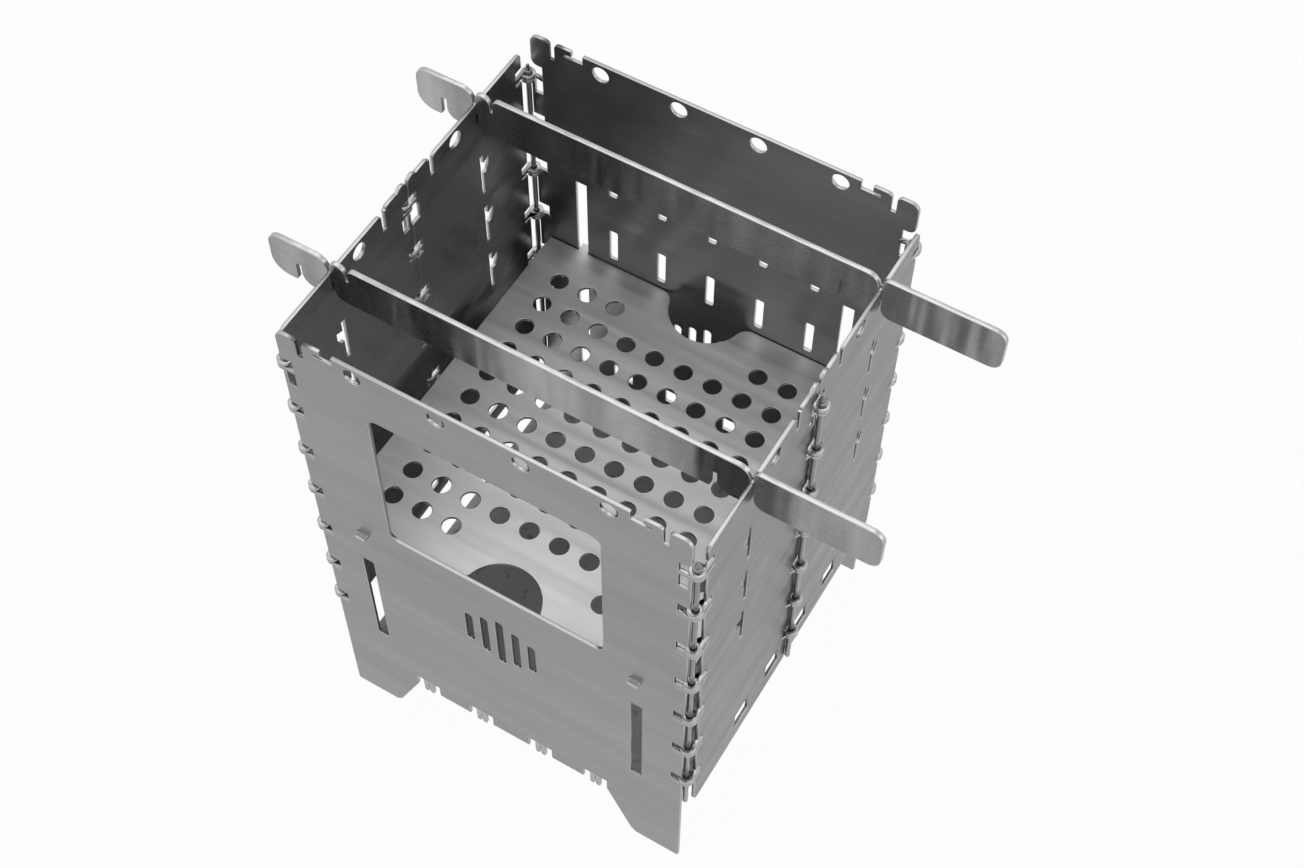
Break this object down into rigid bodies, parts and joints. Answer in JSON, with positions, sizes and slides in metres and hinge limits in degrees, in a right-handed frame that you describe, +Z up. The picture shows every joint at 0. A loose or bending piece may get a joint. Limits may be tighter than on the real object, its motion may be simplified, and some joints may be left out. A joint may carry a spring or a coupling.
{
  "type": "folding wood stove",
  "caption": "Box stove of stainless sheet that folds flat on hinge rods, with a fuel window, lift-out grate, ash plate and two bars for a pot.",
  "frame": {"origin": "centre of the whole object's box at the level of the feet; the stove's own middle lies 10.8 mm towards -X, because the bars reach further on their handle side", "axes": "+Z up, -Y towards the side with the fuel window, +X towards the bars' handle ends"},
  "size_m": [0.2376, 0.163, 0.254],
  "materials": {
    "plate_steel": "fine brushed stainless sheet, satin",
    "wall_steel": "brushed stainless sheet, darker satin",
    "grate_steel": "bright stainless sheet",
    "ash_steel": "brushed stainless sheet",
    "bar_steel": "satin stainless bar",
    "rod_steel": "drawn stainless rod"
  },
  "bodies": {
    "front_plate": {"front_plate": "plate_steel", "front_left_rod": "rod_steel", "front_right_rod": "rod_steel"},
    "left_front_wall": {"left_front_wall": "wall_steel", "left_mid_rod": "rod_steel"},
    "left_rear_wall": {"left_rear_wall": "wall_steel"},
    "rear_plate": {"rear_plate": "plate_steel", "rear_left_rod": "rod_steel", "rear_right_rod": "rod_steel"},
    "right_front_wall": {"right_front_wall": "wall_steel", "right_mid_rod": "rod_steel"},
    "right_rear_wall": {"right_rear_wall": "wall_steel"},
    "grate": {"grate": "grate_steel"},
    "ash_plate": {"ash_plate": "ash_steel"},
    "front_bar": {"front_bar": "bar_steel"},
    "rear_bar": {"rear_bar": "bar_steel"}
  },
  "joints": [
    {"name": "left_front_fold", "type": "hinge", "parent": "front_plate", "child": "left_front_wall", "pos_m": [-0.0914, -0.0765, 0.15], "axis": [0, 0, 1], "range_deg": [-90, 0]},
    {"name": "left_mid_fold", "type": "hinge", "parent": "left_front_wall", "child": "left_rear_wall", "pos_m": [-0.09545, 0, 0.15], "axis": [0, 0, 1], "range_deg": [0, 180]},
    {"name": "left_rear_fold", "type": "hinge", "parent": "left_rear_wall", "child": "rear_plate", "pos_m": [-0.0914, 0.0765, 0.15], "axis": [0, 0, 1], "range_deg": [-90, 0]},
    {"name": "right_front_fold", "type": "hinge", "parent": "front_plate", "child": "right_front_wall", "pos_m": [0.0698, -0.0765, 0.15], "axis": [0, 0, 1], "range_deg": [0, 90]},
    {"name": "right_mid_fold", "type": "hinge", "parent": "right_front_wall", "child": "right_rear_wall", "pos_m": [0.07385, 0, 0.15], "axis": [0, 0, 1], "range_deg": [-180, 0]},
    {"name": "grate_lift", "type": "slide", "parent": "front_plate", "child": "grate", "axis": [0, 0, 1], "range_m": [0, 0.8]},
    {"name": "front_bar_lift", "type": "slide", "parent": "front_plate", "child": "front_bar", "axis": [0, 0, 1], "range_m": [0, 0.8]},
    {"name": "rear_bar_lift", "type": "slide", "parent": "front_plate", "child": "rear_bar", "axis": [0, 0, 1], "range_m": [0, 0.8]},
    {"name": "ash_plate_drop", "type": "slide", "parent": "front_plate", "child": "ash_plate", "axis": [0, 0, -1], "range_m": [0, 0.25]}
  ],
  "couplings": [
    {"joint": "left_mid_fold", "follows": "left_front_fold", "ratio": -2},
    {"joint": "left_rear_fold", "follows": "left_front_fold", "ratio": 1},
    {"joint": "right_front_fold", "follows": "left_front_fold", "ratio": -1},
    {"joint": "right_mid_fold", "follows": "left_front_fold", "ratio": 2},
    {"joint": "grate_lift", "follows": "left_front_fold", "m_per_rad": -0.5092},
    {"joint": "front_bar_lift", "follows": "left_front_fold", "m_per_rad": -0.5092},
    {"joint": "rear_bar_lift", "follows": "left_front_fold", "m_per_rad": -0.5092},
    {"joint": "ash_plate_drop", "follows": "left_front_fold", "m_per_rad": -0.1591}
  ]
}
